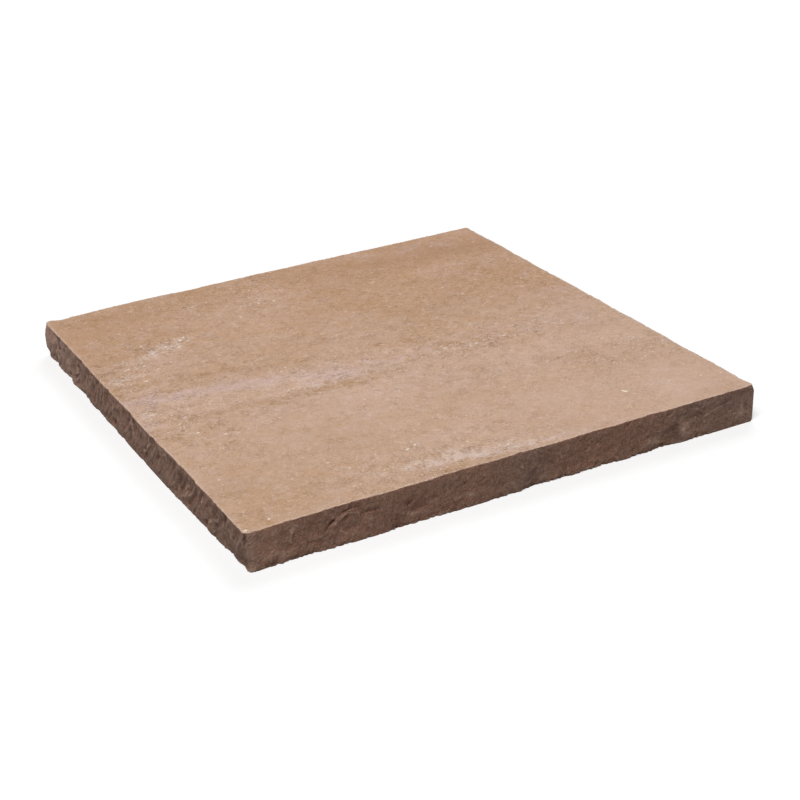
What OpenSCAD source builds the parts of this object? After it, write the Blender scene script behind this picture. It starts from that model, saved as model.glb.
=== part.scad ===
// Pillar cap: one slab of natural stone that crowns a square masonry pillar.
// Its top and its bed are sawn flat. Its four faces are rock-faced: they were
// pitched off with a chisel, which left shallow scoops and a ragged lower arris.
// An arris is the edge where a face meets the top or the bed.
// The origin is the middle of the bed, with +Z up and +X along the front face.

/* [Slab] */
// Width along X, over the proudest points of the faces
cap_w = 610; // [300:5:900]
// Depth along Y, over the proudest points of the faces
cap_d = 610; // [300:5:900]
// Thickness, from the sawn bed to the sawn top
cap_t = 45; // [30:0.5:90]

/* [Rock face] */
// Spacing of the chisel strokes along a face
stroke_pitch = 11; // [8:1:20]
// Depth of the deepest scoop
scoop_depth = 3; // [0.5:0.5:5]
// Width of the widest scoop, from rim to rim
scoop_width = 80; // [30:5:120]
// Average distance from one scoop to the next
scoop_spacing = 34; // [20:1:80]
// Roughness of the broken stone, from its hollows to its points
grit = 1; // [0:0.1:2]
// How far the faces are set back at the bed
underset = 0.5; // [0:0.25:6]
// How far the faces are set back at the top arris
arris_wear = 0.75; // [0:0.25:2]
// Seed of the chisel strokes: each number is another stone
stone = 4; // [1:1:99]

/* [Corners] */
// Radius of the corners in plan: front left, front right, back right, back left
corner_r = [3, 2, 3, 8]; // [2:1:12]
// How far each corner is knocked back at the bed, in the same order
corner_knock = [6, 0, 4, 3]; // [0:1:12]
// How far along a face a knocked corner reaches
knock_reach = 20; // [12:1:60]

/* [Hidden] */
stone_colour = [0.75, 0.62, 0.53];
// Heights of the rows of face points, as shares of the thickness. The first and
// the last row lie beyond the slab, and the sawn planes cut them off.
rows = [-0.12, 0.09, 0.26, 0.42, 0.58, 0.74, 0.91, 1.12];
// Most that a face point moves up or down, and along the face in strokes
row_jitter = 0.05 * cap_t;
stroke_jitter = 0.28;
// Straight steps in each rounded corner
arc_steps = 3;
// How sharply the knocked corners, the leaning faces and the worn arris curve away:
// the higher the power, the nearer to the edge the curve starts
knock_power = 3;
lean_power = 2;
wear_power = 8;
// Smallest scoop, as a share of the widest
least_scoop = 0.35;
// Share of their depth that scoops keep at the top and bed arrises
arris_share = 0.35;

// Corner k lies at the start of face k. Both are counted anticlockwise from above:
// the front face first, then the right, the back and the left one.
face_dir = [[1, 0], [0, 1], [-1, 0], [0, -1]];
corner_side = [[-1, -1], [1, -1], [1, 1], [-1, 1]];
last_row = len(rows) - 1;
function face_length(k) = k % 2 == 0 ? cap_w : cap_d;
function face_out(k) = [face_dir[k].y, -face_dir[k].x];
function next_face(k) = (k + 1) % 4;
function face_before(k) = (k + 3) % 4;
function strokes(k) = max(8, round(face_length(k) / stroke_pitch));
// A list of n seeded numbers from low to high. Each use has its own channel.
function dice(low, high, n, k, channel) = rands(low, high, n, 1000 * stone + 10 * channel + k);

// Scoops on face k: distance along it, height, and size as a share of the widest
function scoops(k) =
    let (n = max(1, round(face_length(k) / scoop_spacing)))
    let (along = dice(0, face_length(k), n, k, 1))
    let (height = dice(0, cap_t, n, k, 2))
    let (share = dice(least_scoop, 1, n, k, 3))
    [for (i = [0 : n - 1]) [along[i], height[i], share[i]]];
// Depth at distance s and height z: each scoop is a bowl, and the deepest one counts
function scooped(s, z, list) =
    max([for (c = list)
        let (off_middle = norm([s - c[0], z - c[1]]) / (c[2] * scoop_width / 2))
        c[2] * scoop_depth * max(0, 1 - pow(off_middle, 2))]);

// Share of the way down a face, 0 at the top and 1 at the bed
function drop(z) = min(1, max(0, 1 - z / cap_t));
// How far the knocked corners at both ends of face k push it back
function knocked(k, s, z) =
    let (from_start = corner_knock[k] * max(0, 1 - s / knock_reach))
    let (to_end = face_length(k) - s)
    let (from_end = corner_knock[next_face(k)] * max(0, 1 - to_end / knock_reach))
    (from_start + from_end) / sqrt(2) * pow(drop(z), knock_power);
function leaned(z) = underset * pow(drop(z), lean_power) + arris_wear * pow(1 - drop(z), wear_power);
// The arrises were struck along lines, so scoops are deepest between them, but the
// stone broke more roughly towards the bed
function scoop_share(z) = arris_share + (1 - arris_share) * sin(180 * drop(z));
function grit_share(z) = arris_share + (1 - arris_share) * drop(z);

// Height of point i in row j of face k. The outer rows stay level.
function heights(k) =
    let (n = strokes(k))
    let (shake = dice(-row_jitter, row_jitter, len(rows) * (n + 1), k, 4))
    [for (j = [0 : last_row])
        [for (i = [0 : n])
            rows[j] * cap_t + (j == 0 || j == last_row ? 0 : shake[j * (n + 1) + i])]];
// How far each point of face k lies behind its proudest point, by row and stroke
function set_backs(k, z) =
    let (n = strokes(k), list = scoops(k))
    let (rough = dice(0, grit, len(rows) * (n + 1), k, 5))
    let (back = [for (j = [0 : last_row])
        [for (i = [0 : n])
            let (s = face_length(k) * i / n)
            scoop_share(z[j][i]) * scooped(s, z[j][i], list)
                + grit_share(z[j][i]) * rough[j * (n + 1) + i]
                + leaned(z[j][i]) + knocked(k, s, z[j][i])]])
    let (proudest = min([for (j = [1 : last_row - 1]) min(back[j])]))
    [for (line = back) [for (b = line) max(0, b - proudest)]];

height = [for (k = [0 : 3]) heights(k)];
back = [for (k = [0 : 3]) set_backs(k, height[k])];
shift = [for (k = [0 : 3])
    dice(-stroke_jitter, stroke_jitter, len(rows) * (strokes(k) + 1), k, 6)];

// Where the rounded corner k sits in row j: its arc's middle in plan
function arc_middle(k, j) =
    let (before = face_before(k))
    let (full = [cap_w / 2 - corner_r[k], cap_d / 2 - corner_r[k]])
    [corner_side[k].x * full.x, corner_side[k].y * full.y]
        - face_out(k) * back[k][j][0]
        - face_out(before) * back[before][j][strokes(before)];
function corner_points(k, j) =
    let (middle = arc_middle(k, j))
    [for (step = [0 : arc_steps])
        let (a = 180 + 90 * (k + step / arc_steps))
        [middle.x + corner_r[k] * cos(a), middle.y + corner_r[k] * sin(a), height[k][j][0]]];
// The points between two corners, spread over what the corners leave of the face
function face_points(k, j) =
    let (n = strokes(k), next = next_face(k))
    let (from = arc_middle(k, j) * face_dir[k], to = arc_middle(next, j) * face_dir[k])
    let (flat = face_length(next) / 2)
    [for (i = [1 : n - 1])
        let (share = (i + shift[k][j * (n + 1) + i]) / n)
        let (p = face_dir[k] * (from + (to - from) * share) + face_out(k) * (flat - back[k][j][i]))
        [p.x, p.y, height[k][j][i]]];
function ring(j) = [for (k = [0 : 3]) each concat(corner_points(k, j), face_points(k, j))];

// The rough block before its top and bed are sawn
module pitched_block() {
    rings = [for (j = [0 : last_row]) ring(j)];
    n = len(rings[0]);
    points = concat([for (r = rings) each r],
        [[0, 0, rows[0] * cap_t], [0, 0, rows[last_row] * cap_t]]);
    bed_middle = len(points) - 2;
    top_middle = len(points) - 1;
    top_ring = n * last_row;
    sides = [for (j = [0 : last_row - 1]) for (i = [0 : n - 1])
        let (a = j * n + i, b = j * n + (i + 1) % n)
        each (i + j) % 2 == 0
            ? [[a, a + n, b + n], [a, b + n, b]]
            : [[a, a + n, b], [a + n, b + n, b]]];
    bed = [for (i = [0 : n - 1]) [bed_middle, i, (i + 1) % n]];
    top = [for (i = [0 : n - 1]) [top_middle, top_ring + (i + 1) % n, top_ring + i]];
    polyhedron(points, concat(sides, bed, top));
}

module cap() {
    color(stone_colour)
        intersection() {
            pitched_block();
            translate([-cap_w, -cap_d, 0])
                cube([2 * cap_w, 2 * cap_d, cap_t]);
        }
}

cap();
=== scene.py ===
"""Pillar cap: the visible stone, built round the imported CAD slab.

One mesh stands for the CAD slab. Its faces start from rays cast onto the CAD solid, so
they keep its scoops and corners. Random flakes and chips are cut into them all round, with
shells, knocks, ridges and gashes at chosen places.
Its top and bed are grids that are joined to the faces. Procedural materials colour it by
values at its points: the weathered tan top, the broken red-brown faces and the plain bed.
Lengths are in metres. X runs along the front face, Y to the back, and Z is up.
"""

import itertools
import math

import bpy
import numpy as np
from mathutils import Matrix, Vector
from mathutils.bvhtree import BVHTree
from mathutils.geometry import delaunay_2d_cdt


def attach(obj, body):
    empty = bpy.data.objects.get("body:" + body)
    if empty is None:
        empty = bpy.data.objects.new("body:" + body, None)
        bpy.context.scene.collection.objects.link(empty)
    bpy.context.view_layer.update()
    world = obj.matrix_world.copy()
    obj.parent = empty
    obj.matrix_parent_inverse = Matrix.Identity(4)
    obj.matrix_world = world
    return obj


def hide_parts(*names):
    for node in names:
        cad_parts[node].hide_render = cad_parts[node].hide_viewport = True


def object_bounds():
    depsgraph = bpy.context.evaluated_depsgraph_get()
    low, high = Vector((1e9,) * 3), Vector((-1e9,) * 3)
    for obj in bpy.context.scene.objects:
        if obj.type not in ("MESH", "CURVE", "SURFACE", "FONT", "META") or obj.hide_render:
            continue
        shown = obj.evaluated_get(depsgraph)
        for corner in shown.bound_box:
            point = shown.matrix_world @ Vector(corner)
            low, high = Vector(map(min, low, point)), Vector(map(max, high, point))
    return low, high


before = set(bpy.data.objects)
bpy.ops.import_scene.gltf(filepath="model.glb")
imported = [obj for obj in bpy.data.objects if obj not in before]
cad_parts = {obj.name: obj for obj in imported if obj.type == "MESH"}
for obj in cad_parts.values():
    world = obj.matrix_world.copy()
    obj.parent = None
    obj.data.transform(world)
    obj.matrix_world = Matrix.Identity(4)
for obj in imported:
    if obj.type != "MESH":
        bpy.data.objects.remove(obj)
cad_low, cad_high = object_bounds()

MM = 0.001
PERCENT = 0.01
THICKNESS = cad_high.z - cad_low.z
WIDTH = cad_high.x - cad_low.x
DEPTH = cad_high.y - cad_low.y

# Mesh
FACE_PITCH = 1.3 * MM  # between points along and up the broken faces
CORNER_PITCH = 1.0 * MM  # between points round a corner of the guide line
TOP_PITCH = 4 * MM
BED_PITCH = 9 * MM
GUIDE_RADIUS = 14 * MM  # of the corners of the line that the faces are measured from
RAY_START = 25 * MM  # outside that line
RAY_MARGIN = 1 * MM  # rays stay that far from the bed and from the top
TOP_LOOPS = (1.2 * MM, 3.0 * MM)  # inside the arris, before the top's grid
GRID_MARGIN = 13 * MM  # from the CAD box to the top's grid
BED_MARGIN = 14 * MM
ARRIS_ROUND = 0.9 * MM  # height of the rounded arrises
ARRIS_SET_BACK = 0.35 * MM  # of the last point of a face, at the bed and at the top
TOP_ROLL_OFF = 0.3 * MM  # drop of the top at its arris
FRONT, RIGHT, BACK, LEFT = range(4)  # the faces, anticlockwise from above


# ---- noise

def gradient_noise(points, size, seed):
    """Smooth noise from about -1 to 1 at points (n, 3), with lumps of that size."""
    dice = np.random.default_rng(seed)
    order = dice.permutation(256)
    slopes = dice.normal(size=(256, 3))
    slopes /= np.linalg.norm(slopes, axis=1)[:, None]
    p = points / size + dice.uniform(0, 64, 3)
    cell = np.floor(p).astype(int)
    inside = p - cell
    ease = inside**3 * (inside * (inside * 6 - 15) + 10)
    total = np.zeros(len(p))
    for corner in itertools.product((0, 1), repeat=3):
        c = (cell + corner) & 255
        slope = slopes[order[(order[(order[c[:, 0]] + c[:, 1]) & 255] + c[:, 2]) & 255]]
        weight = np.where(corner, ease, 1 - ease).prod(1)
        total += weight * (slope * (inside - corner)).sum(1)
    return total * 1.6  # which brings it to that range


def cloud_noise(points, size, seed, octaves=4, gain=0.5):
    """Noise with finer lumps on the coarse ones, from about -1 to 1."""
    layers = [gain**k * gradient_noise(points, size / 2**k, seed + k) for k in range(octaves)]
    return sum(layers) / sum(gain**k for k in range(octaves)) * 1.4


def smooth_step(low, high, value):
    t = np.clip((value - low) / (high - low), 0, 1)
    return t * t * (3 - 2 * t)


# ---- broken faces

def face_length(k):
    return (WIDTH, DEPTH)[k % 2]


def guide_line():
    """The walk round the slab, anticlockwise from the front left corner: points in plan,
    outward directions, distance walked, and whether each point is on a corner's arc."""
    points, outward, on_arc = [], [], []
    middle = np.array((cad_low + cad_high)[:2]) / 2
    for k, heading in enumerate([(1, 0), (0, 1), (-1, 0), (0, -1)]):
        along = np.array(heading, float)
        out = np.array([along[1], -along[0]])
        across = face_length(k + 1)
        straight = face_length(k) - 2 * GUIDE_RADIUS
        steps = round(straight / FACE_PITCH)
        for i in range(steps):
            s = straight * (i / steps - 0.5)
            points.append(middle + along * s + out * across / 2)
            outward.append(out)
            on_arc.append(False)
        turn = middle + along * straight / 2 + out * (across / 2 - GUIDE_RADIUS)
        steps = round(math.pi / 2 * GUIDE_RADIUS / CORNER_PITCH)
        for i in range(steps):
            a = math.pi / 2 * i / steps
            direction = out * math.cos(a) + along * math.sin(a)
            points.append(turn + direction * GUIDE_RADIUS)
            outward.append(direction)
            on_arc.append(True)
    points, outward = np.array(points), np.array(outward)
    step = np.linalg.norm(np.roll(points, -1, 0) - points, axis=1)
    walk = np.concatenate([[0], np.cumsum(step)])
    return points, outward, walk[:-1], np.array(on_arc), walk[-1]


def cad_set_back(points, outward, heights):
    """How far behind the guide line the CAD solid's faces are, by height and column."""
    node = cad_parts["cap"]
    tree = BVHTree.FromPolygons(
        [v.co for v in node.data.vertices], [p.vertices for p in node.data.polygons]
    )
    safe = np.clip(heights, RAY_MARGIN, THICKNESS - RAY_MARGIN)
    table = np.zeros((len(heights), len(points)))
    for j, z in enumerate(safe):
        for i, (p, n) in enumerate(zip(points, outward)):
            start = Vector((*(p + n * RAY_START), z))
            hit = tree.ray_cast(start, Vector((-n[0], -n[1], 0)))
            table[j, i] = hit[3] - RAY_START
    return table


def blurred(field, sigma):
    """field smoothed over sigma steps. It joins up along its rows."""
    reach = math.ceil(3 * sigma)
    steps = np.arange(-reach, reach + 1)
    weights = np.exp(-0.5 * (steps / sigma) ** 2)
    weights /= weights.sum()
    wrapped = sum(w * np.roll(field, k, axis=1) for k, w in zip(steps, weights))
    padded = np.pad(wrapped, ((reach, reach), (0, 0)), mode="edge")
    return sum(w * padded[k : k + len(field)] for k, w in enumerate(weights))


def past(place):
    """How far each column lies past that place on the walk, or below 0 before it."""
    return (walk - place + around / 2) % around - around / 2


def cut_flake(field, at, height, radius, depth, angle, squash, step):
    """Cuts one shell-shaped flake into field. It is deepest towards angle, where its rim
    is a step. squash is its size across that direction as a share of its radius, and step
    is the share of its depth in that rim."""
    s = past(at)
    near = np.nonzero(np.abs(s) < radius * max(1, squash))[0]
    if not len(near):
        return
    s, z = np.meshgrid(s[near], heights - height)
    a = (s * math.cos(angle) + z * math.sin(angle)) / radius
    b = (z * math.cos(angle) - s * math.sin(angle)) / (radius * squash)
    out = np.sqrt(a * a + b * b)
    bowl = np.clip(1 - out * out, 0, None)
    rim = smooth_step(0, 0.2, 1 - out) * (0.5 + 0.5 * a)
    cut = depth * ((1 - step) * bowl + step * rim)
    field[:, near] = np.maximum(field[:, near], cut)


def blank():
    """A field of zeros, with a row for each height and a column for each step of the walk."""
    return np.zeros((len(heights), len(walk)))


def random_flakes(count, radii, slope, steps, seed):
    """A layer of count seeded flakes, with radii in that range in mm. Their depth is about
    slope x radius."""
    dice = np.random.default_rng(seed)
    field = blank()
    for _ in range(count):
        radius = MM * math.exp(dice.uniform(math.log(radii[0]), math.log(radii[1])))
        at = dice.uniform(0, around)
        height = dice.uniform(-0.1, 1.1) * THICKNESS
        depth = radius * slope * dice.uniform(0.5, 1.3)
        angle = math.pi * (dice.integers(2) + 0.5) + dice.normal(0, 0.6)
        squash = dice.uniform(0.45, 0.95)
        cut_flake(field, at, height, radius, depth, angle, squash, dice.uniform(*steps))
    return field


# What is at chosen places on the faces. A place is in % of the face's length from its left
# end and in % of the thickness up from the bed.
# Shells: place, radius and depth in mm, angle of the deep rim in degrees (90 is up), squash
# and step
FRONT_SHELLS = [
    (3.5, 50, 15, 1, 60, 0.7, 0.4), (8, 70, 16, 1, 150, 0.5, 0.4), (12, 62, 13, 1, 20, 1, 0.4),
    (18.5, 48, 13, 1.2, 110, 0.8, 0.4), (30, 30, 14, 1, 120, 0.7, 0.4),
    (39.5, 25, 15, 1, 80, 0.5, 0.4), (56, 35, 22, 1.2, 75, 0.6, 0.3),
    (64, 45, 24, 1.2, 100, 0.6, 0.3), (82.6, 30, 14, 1.5, 5, 0.9, 0.3),
    (88.5, 55, 14, 1.2, 160, 0.6, 0.4),
]
LEFT_SHELLS = [
    (16, 50, 18, 1.8, 10, 0.8, 0.4), (21.5, 45, 14, 1.8, 10, 1.1, 0.4),
    (29, 50, 16, 1.6, 80, 0.7, 0.4), (39, 50, 18, 1.8, 170, 0.7, 0.4),
    (47.5, 40, 14, 2.2, 0, 1, 0.4), (53.5, 55, 15, 1.8, 30, 0.9, 0.4),
    (64, 50, 20, 1.8, 150, 0.7, 0.4), (72.5, 45, 13, 1.8, 80, 1, 0.4),
    (80, 50, 14, 1.6, 60, 0.9, 0.4), (86, 70, 14, 1.6, 35, 0.7, 0.4),
    (91.8, 45, 12, 2.2, 0, 1, 0.4), (96.5, 55, 14, 1.4, 120, 0.9, 0.4),
]
# Knocks: place, radius and depth in mm, which is below 0 for a swell
FRONT_KNOCKS = [
    (1.4, 0, 14, -2.6), (5, 0, 14, 1), (7.6, 0, 16, 0.6), (26.5, 0, 18, 1.8), (36, 100, 9, 1.2),
    (53.5, 0, 24, 1.8), (77.5, 100, 9, 1), (79.5, 0, 22, 2.4), (90.5, 0, 20, 0.6),
    (71.5, 0, 22, -1.6), (96.5, 0, 60, -4.5), (18.5, 42, 15, -0.8), (85.3, 8, 22, -2.8),
    (98.5, 50, 26, -2.2), (20.5, 0, 20, -0.8), (43, 0, 24, -0.8), (57, 100, 36, -1.2),
    (93, 100, 40, -0.6), (50, 100, 12, 0.8), (2, 30, 14, -0.7), (85.2, 32, 10, -1.2),
    (99.8, 0, 7, 1.5), (81.5, 0, 14, 1.2),
]
LEFT_KNOCKS = [
    (75.5, 0, 22, -0.7), (93, 0, 26, 0.8), (12.5, 0, 20, 1.5), (27.5, 0, 26, -1.2),
    (43, 0, 20, -1), (68, 0, 30, -0.8), (0, 55, 30, -4.2), (1.5, 14, 24, -3), (6, 0, 16, 1.8),
    (-2.5, 100, 16, 3.4), (66, 0, 40, -1.4), (93.6, 0, 30, 2.6), (97.5, 0, 14, 1.4),
    (56, 0, 110, -2.2),
]
RIGHT_KNOCKS = [
    (12, 100, 120, 1.2), (1, 30, 22, -1.6), (0.4, 0, 7, 1.6), (3, 100, 12, 1.4),
]
BACK_KNOCKS = [
    (97, 100, 90, 2), (92.5, 100, 55, 2.8), (99.5, 100, 18, 1.2), (69, 100, 40, 2.2),
]
# Stains and painted light: place, half sizes in mm along and up, and strength, which is
# below 0 for dark ones. Some are real stains, some pale ones are painted light over the
# shade of knocks, and some dark ones are painted shadow in hollows and under the top arris.
FRONT_STAINS_AND_PAINTED_LIGHT = [
    (84.8, 33, 6, 7, 0.65), (86.1, 47, 11, 3, 0.7), (85.3, 22, 5, 3.5, 0.6),
    (82.5, 30, 10, 9, -1.1), (29.4, 30, 5, 3, 1.5), (40.4, 31, 13, 2.6, 0.8), (48, 22, 30, 5, 0.6),
    (55.5, 20, 8, 3, 0.6), (69.1, 24, 4, 5, 0.1), (78.3, 20, 9, 5, 2.6), (3.5, 35, 14, 9, 0.35),
    (95, 36, 10, 4, 0.5), (19, 25, 10, 3, 0.4), (13, 20, 14, 6, -0.4), (62, 30, 20, 8, -0.3),
    (0.8, 40, 5, 16, 0.5), (2.2, 80, 7, 6, -0.7), (8.3, 80, 5, 5, 0.7), (6.7, 25, 7, 5, 0.6),
    (11.5, 60, 6, 5, -0.7), (10.2, 60, 5, 5, -0.4), (86.4, 50, 8, 3, 0.3), (79.6, 88, 6, 3, -1.8),
    (83.5, 16, 8, 5, -1.8), (86.8, 88, 6, 3, -1.8), (93.8, 76, 7, 6, -1.8), (18.5, 45, 9, 6, -1.3),
    (20.5, 56, 6, 4, -1), (15, 24, 8, 5, -1.3), (3, 88, 8, 4, -1.1), (36, 74, 8, 5, -1),
    (48, 26, 6, 4, -1.1), (9, 72, 5, 4, 1.1), (84, 62, 7, 5, 0.8), (79.6, 40, 5, 4, 0.8),
    (96.8, 32, 9, 6, 1), (90.4, 40, 6, 4, 0.6), (54, 56, 7, 4, 0.8), (99.7, 50, 3, 14, 0.8),
]
LEFT_STAINS_AND_PAINTED_LIGHT = [
    (9, 78, 8, 7, -2.8), (12, 66, 6, 6, -1.6), (4.5, 40, 9, 6, 1.7), (6, 22, 5, 5, 1.5),
    (15, 25, 7, 5, 1.5), (18, 66, 5, 5, 1.3), (21, 55, 7, 7, -1.4), (30, 75, 6, 7, 1.1),
    (33, 85, 5, 4, -1.4), (40.5, 36, 11, 6, 1.3), (48.5, 45, 6, 6, -2.3), (57, 84, 5, 4, 0.8),
    (63.5, 65, 5, 5, 1.3), (63, 87, 5, 4, -1.1), (69.5, 44, 6, 6, -2.1), (72.2, 45, 6, 10, -2.1),
    (78, 85, 5, 4, 1.1), (78, 24, 6, 5, -1.6), (84, 86, 5, 4, -1.1), (84, 25, 5, 4, 0.9),
    (87.2, 33, 7, 8, -2.1), (90, 46, 6, 5, -1.4),
]
# Lines: depth, half width and the drop beside the line in mm, and the places that it runs
# through. A ridge's depth is below 0. The drop is on the left as the line runs.
FRONT_LINES = [
    (2.3, 1.5, 0.6, [(13.1, 40), (14.6, 53), (16.2, 72)]),
    (-0.9, 1.3, 0.4, [(13.8, 94), (14.8, 82), (16, 70)]),
    (-0.5, 1.4, 0.3, [(15.5, 60), (14, 42), (12.2, 33), (10.2, 38)]),
    (-0.5, 1.4, 0.6, [(16.2, 66), (17.4, 71), (19, 73), (20.6, 64)]),
    (0.9, 1.3, 0.2, [(15.6, 70), (17, 77), (18.4, 81), (20.2, 82)]),
    (-0.5, 1.3, 0.6, [(15.8, 66), (16.3, 45), (17.1, 33), (18.6, 25)]),
    (1.1, 2.2, 0.4, [(20, 62), (21.4, 62), (22.8, 65), (24.6, 70)]),
    (-0.7, 1.3, 0.5, [(19.2, 66), (20.5, 56), (22, 47), (23.6, 41)]),
    (1.1, 1.2, 0.4, [(28.5, 47), (29.3, 55), (30.2, 61)]),
    (-1, 1.4, 0.6, [(9, 86), (8.2, 66), (7.8, 50), (8.5, 34)]),
    (-0.5, 1.3, 0.3, [(4.5, 88), (5, 66), (4.2, 46)]),
    (-0.8, 1.5, 0.4, [(29.4, 21), (30.5, 27), (31.8, 20)]),
    (-0.35, 1.3, 0.3, [(32.2, 28), (33.2, 42), (35.5, 53), (38.2, 55), (40.5, 50)]),
    (0.9, 1.4, 0.2, [(39.5, 65), (40.1, 50)]), (0.9, 1.2, 0.4, [(46.3, 64), (47.6, 81)]),
    (-0.6, 1.6, 0.3, [(37.2, 30), (39.6, 31)]),
    (-0.5, 1.3, 0.4, [(50, 88), (50.8, 62), (52.4, 43)]),
    (-0.5, 1.3, 0.4, [(55.8, 82), (58.5, 60), (59.4, 36)]),
    (-0.5, 1.3, 0.4, [(65.7, 84), (64, 62), (65.6, 42)]), (0.9, 1.2, 0.4, [(72, 82), (73.3, 94)]),
    (0.8, 1.2, 0.3, [(80.4, 82), (82.1, 88)]),
    (-0.3, 1.3, 0.4, [(82.5, 46), (81.2, 62), (79.3, 76)]),
    (-0.6, 1.8, 0.9, [(85.2, 10), (84.5, 26), (83.8, 42), (82.8, 58)]),
    (-0.5, 1.3, 0.5, [(86.6, 88), (88, 70), (90.2, 60)]),
    (-0.6, 1.5, 0.4, [(88, 44), (90.5, 60), (93.5, 70), (96.2, 72)]),
    (-0.5, 1.3, 0.3, [(92.5, 58), (94.5, 46), (96.8, 42)]),
    (0.8, 1.3, 0.3, [(93.4, 22), (95, 31)]), (1.3, 1.4, 0, [(98.8, 72), (98.1, 58), (98.5, 42)]),
    (-1, 1.3, 0.8, [(97.6, 68), (97.3, 50), (97.7, 38), (98.8, 28)]),
]
LEFT_LINES = [
    (2, 1.9, 0, [(8.4, 70), (9.2, 62), (10, 66)]),
    (-1.2, 1.4, 1.8, [(20.2, 82), (19, 66), (19.1, 42), (18, 32), (16.5, 20)]),
    (-1.3, 1.4, 1.5, [(26.4, 92), (25.2, 70), (25, 55), (23.8, 45), (23.5, 28)]),
    (1.4, 1.4, 0, [(29.1, 88), (30, 97)]),
    (-1.1, 1.4, 1.3, [(34.8, 84), (33.8, 65), (33.1, 50), (32.8, 30)]),
    (-1, 1.4, 0.8, [(40, 80), (40.4, 60), (39.6, 36)]),
    (-1.1, 1.4, 1.5, [(45.7, 94), (45, 76), (44.1, 58), (43.2, 38)]),
    (-1.1, 1.4, 1.2, [(50.4, 92), (49.9, 65), (50.4, 32)]),
    (1.6, 1.6, 0, [(52, 88), (51.4, 72), (50.9, 58)]),
    (-1.8, 1.5, 0.9, [(55.6, 5), (55.7, 28), (57.3, 45), (58.6, 64), (59.5, 94)]),
    (-0.9, 1.4, 0.9, [(63.4, 80), (62.8, 55), (63.4, 30)]),
    (-0.9, 1.4, 0.7, [(67.3, 94), (66.8, 72), (67.3, 46)]),
    (-1.3, 1.4, 1.5, [(70.6, 97), (69.7, 72), (69.4, 55), (68.8, 32)]),
    (1.8, 1.6, 0, [(75, 66), (75.7, 58)]), (1.8, 1.6, 0, [(75.1, 51), (75.8, 43)]),
    (-1.1, 1.4, 0.7, [(76.8, 74), (75.8, 50), (74.8, 35), (74.2, 14)]),
    (-1.1, 1.4, 1.2, [(82, 36), (82.2, 60), (83.1, 88)]),
    (-1.6, 1.5, 1.1, [(83.9, 18), (86, 40), (87.7, 46), (88.5, 60), (89.2, 82)]),
    (-1.2, 1.4, 1.9, [(91.3, 94), (90.4, 66), (89.8, 38)]),
    (-1, 1.4, 0.8, [(93.4, 90), (93.7, 62), (94.7, 38)]),
]


def face_start(k):
    """Distance on the walk of the sharp corner at the start of face k, left on the turn."""
    arc = math.pi / 2 * GUIDE_RADIUS
    return sum(face_length(i) - 2 * GUIDE_RADIUS + arc for i in range(k)) - GUIDE_RADIUS


def off_place(k, share, up):
    """Distances from a place on face k: along the face by column, and up by row."""
    s = past(face_start(k) + share * PERCENT * face_length(k))
    return s[None], heights[:, None] - up * PERCENT * THICKNESS


def placed_shells(k, shells):
    """The chosen shells of face k."""
    field = blank()
    for share, up, radius, depth, angle, squash, step in shells:
        at = face_start(k) + share * PERCENT * face_length(k)
        height = up * PERCENT * THICKNESS
        cut_flake(field, at, height, radius * MM, depth * MM, math.radians(angle), squash, step)
    return field


def placed_knocks(k, knocks):
    """The chosen soft-edged knocks and swells of face k."""
    field = blank()
    for share, up, radius, depth in knocks:
        s, z = off_place(k, share, up)
        field += depth * MM * smooth_step(radius * MM, 0, np.hypot(s, z))
    return field


def placed_stains_and_painted_light(k, stains):
    """The chosen pale and dark stains of face k, some of them painted light and shadow."""
    field = blank()
    for share, up, half_long, half_high, strength in stains:
        s, z = off_place(k, share, up)
        s = (s + 3 * MM * waver[0]) / (half_long * MM)
        z = (z + 2 * MM * waver[1]) / (half_high * MM)
        field += strength * np.exp(-(s * s + z * z))
    return field


LINE_REACH = 45 * MM  # from a line's middle to where its drop has faded out
LINE_WAVER = 1.6 * MM  # how far a line strays from the straight way between its places
DROP_REACH = 10 * MM  # over which the drop beside a line fades


def to_path(s, z, path):
    """Distance from a path to each point, its side (1 on the left as the path runs), and
    how far along the path it is, from 0 to 1."""
    nearest = np.full(s.shape, np.inf)
    side = np.zeros(s.shape)
    along = np.zeros(s.shape)
    for j, (a, b) in enumerate(zip(path, path[1:])):
        run = b - a
        t = np.clip(((s - a[0]) * run[0] + (z - a[1]) * run[1]) / (run @ run), 0, 1)
        off_s = s - a[0] - t * run[0]
        off_z = z - a[1] - t * run[1]
        off = np.hypot(off_s, off_z)
        closer = off < nearest
        nearest = np.where(closer, off, nearest)
        side = np.where(closer, np.sign(run[0] * off_z - run[1] * off_s), side)
        along = np.where(closer, (j + t) / (len(path) - 1), along)
    return nearest, side, along


def placed_lines(k, lines, boost=1.0):
    """The chosen ridges and gashes of face k, and how much each point is on a ridge, or
    below 0 in a gash."""
    field, crest = blank(), blank()
    from_start = past(face_start(k))
    for depth, half_width, drop, path in lines:
        path = np.array(path) * PERCENT * (face_length(k), THICKNESS)
        near = np.nonzero(np.abs(from_start - path[:, 0].mean()) < LINE_REACH)[0]
        s, z = np.meshgrid(from_start[near], heights)
        s = s + LINE_WAVER * waver[0][:, near]
        z = z + LINE_WAVER * waver[1][:, near]
        off, side, along = to_path(s, z, path)
        strength = np.clip(0.7 + 0.9 * waver[2][:, near], 0.1, 1.2)
        line = depth * strength * np.exp(-((off / (half_width * MM)) ** 2))
        beside = drop * smooth_step(-1 * MM, 1 * MM, off * side) * np.exp(-off / DROP_REACH)
        fade = smooth_step(0, 0.2, along) * smooth_step(1, 0.8, along)
        field[:, near] += boost * (line + beside) * fade * MM
        thin = np.exp(-((off / (0.8 * half_width * MM)) ** 2))
        weight = -np.sign(depth) * (0.15 + 0.6 * abs(depth))
        crest[:, near] += weight * strength * thin * fade
    return field, crest


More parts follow.
